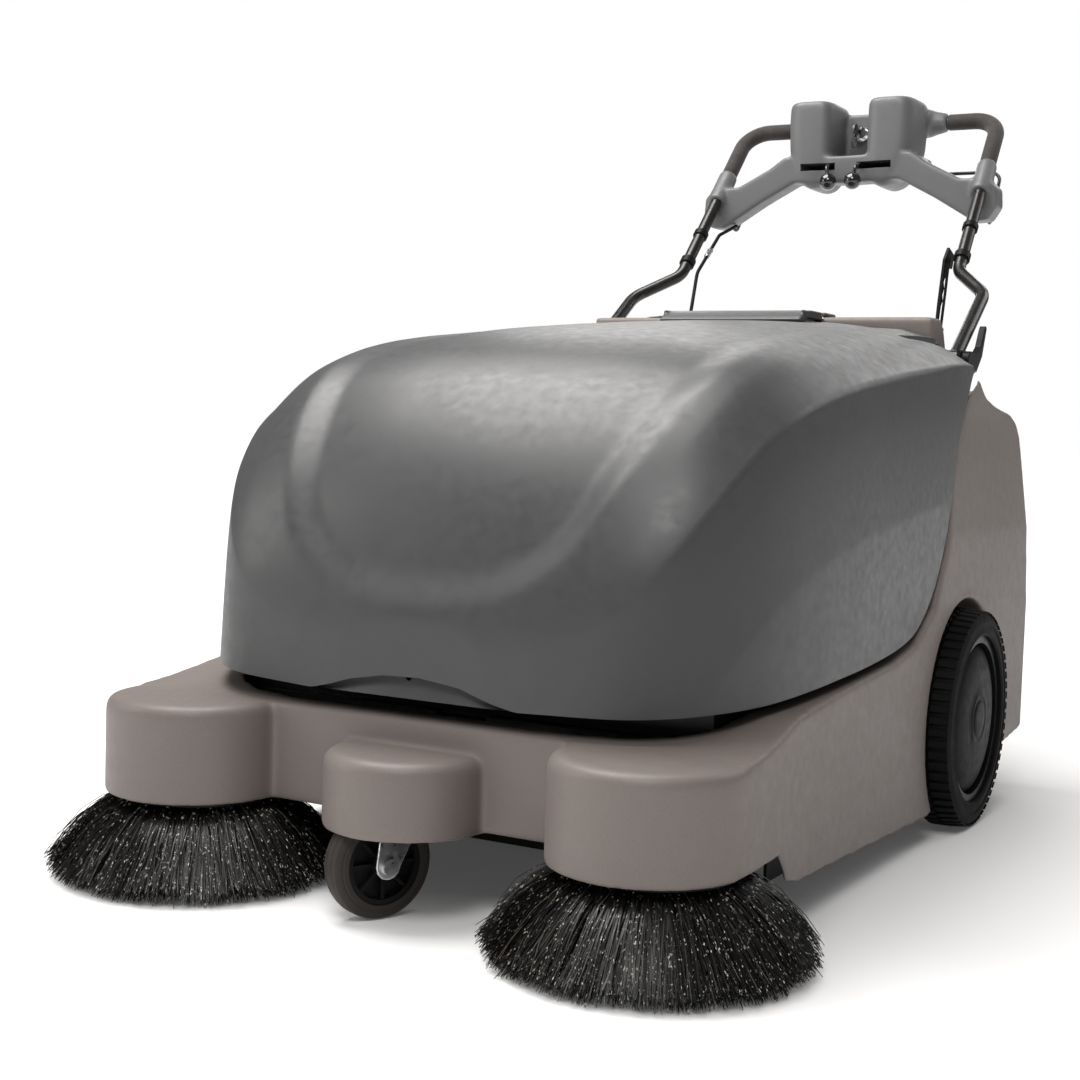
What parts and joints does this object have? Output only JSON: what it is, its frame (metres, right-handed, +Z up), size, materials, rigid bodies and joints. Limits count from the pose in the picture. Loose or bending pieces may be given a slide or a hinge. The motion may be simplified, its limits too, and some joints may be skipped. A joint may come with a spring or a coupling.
{
  "type": "walk-behind sweeper",
  "caption": "Battery walk-behind floor sweeper with bulbous hinged hood, side brushes, front caster, large rear wheels and a bent tube handle with control console.",
  "frame": {"origin": "middle of the footprint on the floor, under the centre of the overall box", "axes": "+Z up, -Y is the front of the machine (driving direction), +X is the machine's left side; the machine is symmetric about X = 0 apart from its drive and controls"},
  "size_m": [0.94, 1.615, 1.099],
  "materials": {
    "hood_plastic": "fine grained dark grey roto-moulded polyethylene",
    "shell_plastic": "fine grained warm mid grey roto-moulded polyethylene",
    "console_plastic": "satin mid grey moulded plastic",
    "black_plastic": "satin black plastic",
    "gloss_black": "glossy black ball knobs",
    "black_tube": "gloss black powder coat",
    "foam": "closed cell foam grip, charcoal brown",
    "bristle": "shiny black nylon bristle",
    "tyre_black": "dark grey solid rubber tyre",
    "caster_rubber": "grey brown rubber",
    "skirt_rubber": "black rubber",
    "zinc": "bright zinc plated pressed steel",
    "steel": "plain machined steel",
    "frame_black": "black powder coated steel",
    "chrome_wire": "plated steel",
    "motor_grey": "grey painted motor can",
    "aluminium_cast": "die cast aluminium",
    "filter_paper": "pleated filter medium",
    "battery_case": "battery case with raised terminals"
  },
  "bodies": {
    "chassis": {"body_shell": "shell_plastic", "rear_panel": "hood_plastic", "sub_frame": "frame_black", "hood_hinges": "steel", "battery_tray": "frame_black", "battery_left": "battery_case", "battery_right": "battery_case", "control_box": "aluminium_cast", "brush_housing": "frame_black", "brush_bearings": "steel", "brush_motor": "motor_grey", "drive_belt": "skirt_rubber", "panel_filter": "filter_paper", "fan_housing": "black_plastic", "transaxle": "aluminium_cast", "axle_bearings": "steel", "caster_plate": "zinc", "side_brush_motors": "motor_grey", "dust_skirts": "skirt_rubber", "clamp_brackets": "frame_black", "shell_screws": "steel"},
    "hood_body": {"hood": "hood_plastic"},
    "main_brush": {"main_brush_core": "black_plastic", "main_brush_bristles": "bristle", "brush_pulley": "aluminium_cast"},
    "motor_pulley_body": {"motor_pulley": "steel"},
    "hopper_body": {"hopper": "black_plastic"},
    "hopper_handle_body": {"hopper_handle": "black_tube"},
    "fan_rotor": {"fan_impeller": "black_plastic"},
    "rear_wheels": {"rear_axle": "steel", "wheel_hub_left": "black_plastic", "wheel_hub_right": "black_plastic", "tyre_left": "tyre_black", "tyre_right": "tyre_black", "hub_cap_left": "black_plastic", "hub_cap_right": "black_plastic"},
    "caster_swivel": {"caster_fork": "zinc", "caster_axle": "zinc"},
    "caster_roller": {"caster_tyre": "caster_rubber", "caster_wheel": "black_plastic"},
    "side_brush_left": {"side_disc_left": "black_plastic", "side_bristles_left": "bristle"},
    "side_brush_right": {"side_disc_right": "black_plastic", "side_bristles_right": "bristle"},
    "handle": {"lower_tubes": "black_tube", "handle_sleeves": "black_plastic", "upper_tube": "black_tube", "foam_grips": "foam", "console": "console_plastic", "key_switch": "chrome_wire", "control_cable": "skirt_rubber", "latch_lever": "black_plastic"},
    "key_body": {"key": "chrome_wire"},
    "lever_left_body": {"lever_left": "gloss_black"},
    "lever_right_body": {"lever_right": "gloss_black"},
    "bail_body": {"drive_bail": "black_tube"},
    "knob_left": {"clamp_knob_left": "black_plastic"},
    "knob_right": {"clamp_knob_right": "black_plastic"},
    "cam_left": {"cam_lever_left": "black_plastic"},
    "cam_right": {"cam_lever_right": "black_plastic"}
  },
  "joints": [
    {"name": "hood_open", "type": "hinge", "parent": "chassis", "child": "hood_body", "pos_m": [0, 0.2771, 0.7024], "axis": [-1, 0, 0], "range_deg": [0, 70]},
    {"name": "main_brush_spin", "type": "hinge", "parent": "chassis", "child": "main_brush", "pos_m": [0, -0.1865, 0.14], "axis": [1, 0, 0], "continuous": true},
    {"name": "motor_pulley_spin", "type": "hinge", "parent": "chassis", "child": "motor_pulley_body", "pos_m": [0.322, -0.0865, 0.372], "axis": [1, 0, 0], "continuous": true},
    {"name": "hopper_slide", "type": "slide", "parent": "chassis", "child": "hopper_body", "axis": [0, 1, 0], "range_m": [0, 0.5]},
    {"name": "hopper_handle_swing", "type": "hinge", "parent": "hopper_body", "child": "hopper_handle_body", "pos_m": [0, 0.4955, 0.428], "axis": [1, 0, 0], "range_deg": [0, 90]},
    {"name": "fan_spin", "type": "hinge", "parent": "chassis", "child": "fan_rotor", "pos_m": [0, 0.2835, 0.56], "axis": [0, 0, 1], "continuous": true},
    {"name": "rear_wheels_roll", "type": "hinge", "parent": "chassis", "child": "rear_wheels", "pos_m": [0, 0.1635, 0.15], "axis": [1, 0, 0], "continuous": true},
    {"name": "caster_swivel_turn", "type": "hinge", "parent": "chassis", "child": "caster_swivel", "pos_m": [0, -0.6355, 0.14], "axis": [0, 0, 1], "continuous": true},
    {"name": "caster_roll", "type": "hinge", "parent": "caster_swivel", "child": "caster_roller", "pos_m": [-0.01437, -0.66631, 0.06], "axis": [0.9063, -0.4226, 0], "continuous": true},
    {"name": "side_brush_left_spin", "type": "hinge", "parent": "chassis", "child": "side_brush_left", "pos_m": [0.293, -0.6305, 0.1], "axis": [0, 0, -1], "continuous": true},
    {"name": "side_brush_right_spin", "type": "hinge", "parent": "chassis", "child": "side_brush_right", "pos_m": [-0.293, -0.6305, 0.1], "axis": [0, 0, 1], "continuous": true},
    {"name": "handle_tilt", "type": "hinge", "parent": "chassis", "child": "handle", "pos_m": [0, 0.3105, 0.643], "axis": [1, 0, 0], "range_deg": [0, 45]},
    {"name": "key_turn", "type": "hinge", "parent": "handle", "child": "key_body", "pos_m": [0, 0.7035, 1.052], "axis": [0, 1, 0], "range_deg": [0, 60]},
    {"name": "lever_left_swing", "type": "hinge", "parent": "handle", "child": "lever_left_body", "pos_m": [0.048, 0.7295, 0.986], "axis": [0, 0, 1], "range_deg": [0, 24]},
    {"name": "lever_right_swing", "type": "hinge", "parent": "handle", "child": "lever_right_body", "pos_m": [-0.048, 0.7295, 0.986], "axis": [0, 0, -1], "range_deg": [0, 24]},
    {"name": "bail_squeeze", "type": "hinge", "parent": "handle", "child": "bail_body", "pos_m": [0, 0.7045, 0.905], "axis": [1, 0, 0], "range_deg": [0, 20], "stiffness_Nm_per_rad": 1.2, "springref_deg": -20.05},
    {"name": "clamp_knob_left_turn", "type": "hinge", "parent": "chassis", "child": "knob_left", "pos_m": [0.275, 0.3105, 0.643], "axis": [1, 0, 0], "range_deg": [0, 180]},
    {"name": "clamp_knob_right_turn", "type": "hinge", "parent": "chassis", "child": "knob_right", "pos_m": [-0.275, 0.3105, 0.643], "axis": [-1, 0, 0], "range_deg": [0, 180]},
    {"name": "cam_lever_left_open", "type": "hinge", "parent": "chassis", "child": "cam_left", "pos_m": [0.321, 0.3105, 0.643], "axis": [1, 0, 0], "range_deg": [0, 60]},
    {"name": "cam_lever_right_open", "type": "hinge", "parent": "chassis", "child": "cam_right", "pos_m": [-0.321, 0.3105, 0.643], "axis": [1, 0, 0], "range_deg": [0, 60]}
  ],
  "couplings": [
    {"joint": "motor_pulley_spin", "follows": "main_brush_spin", "ratio": 2}
  ]
}
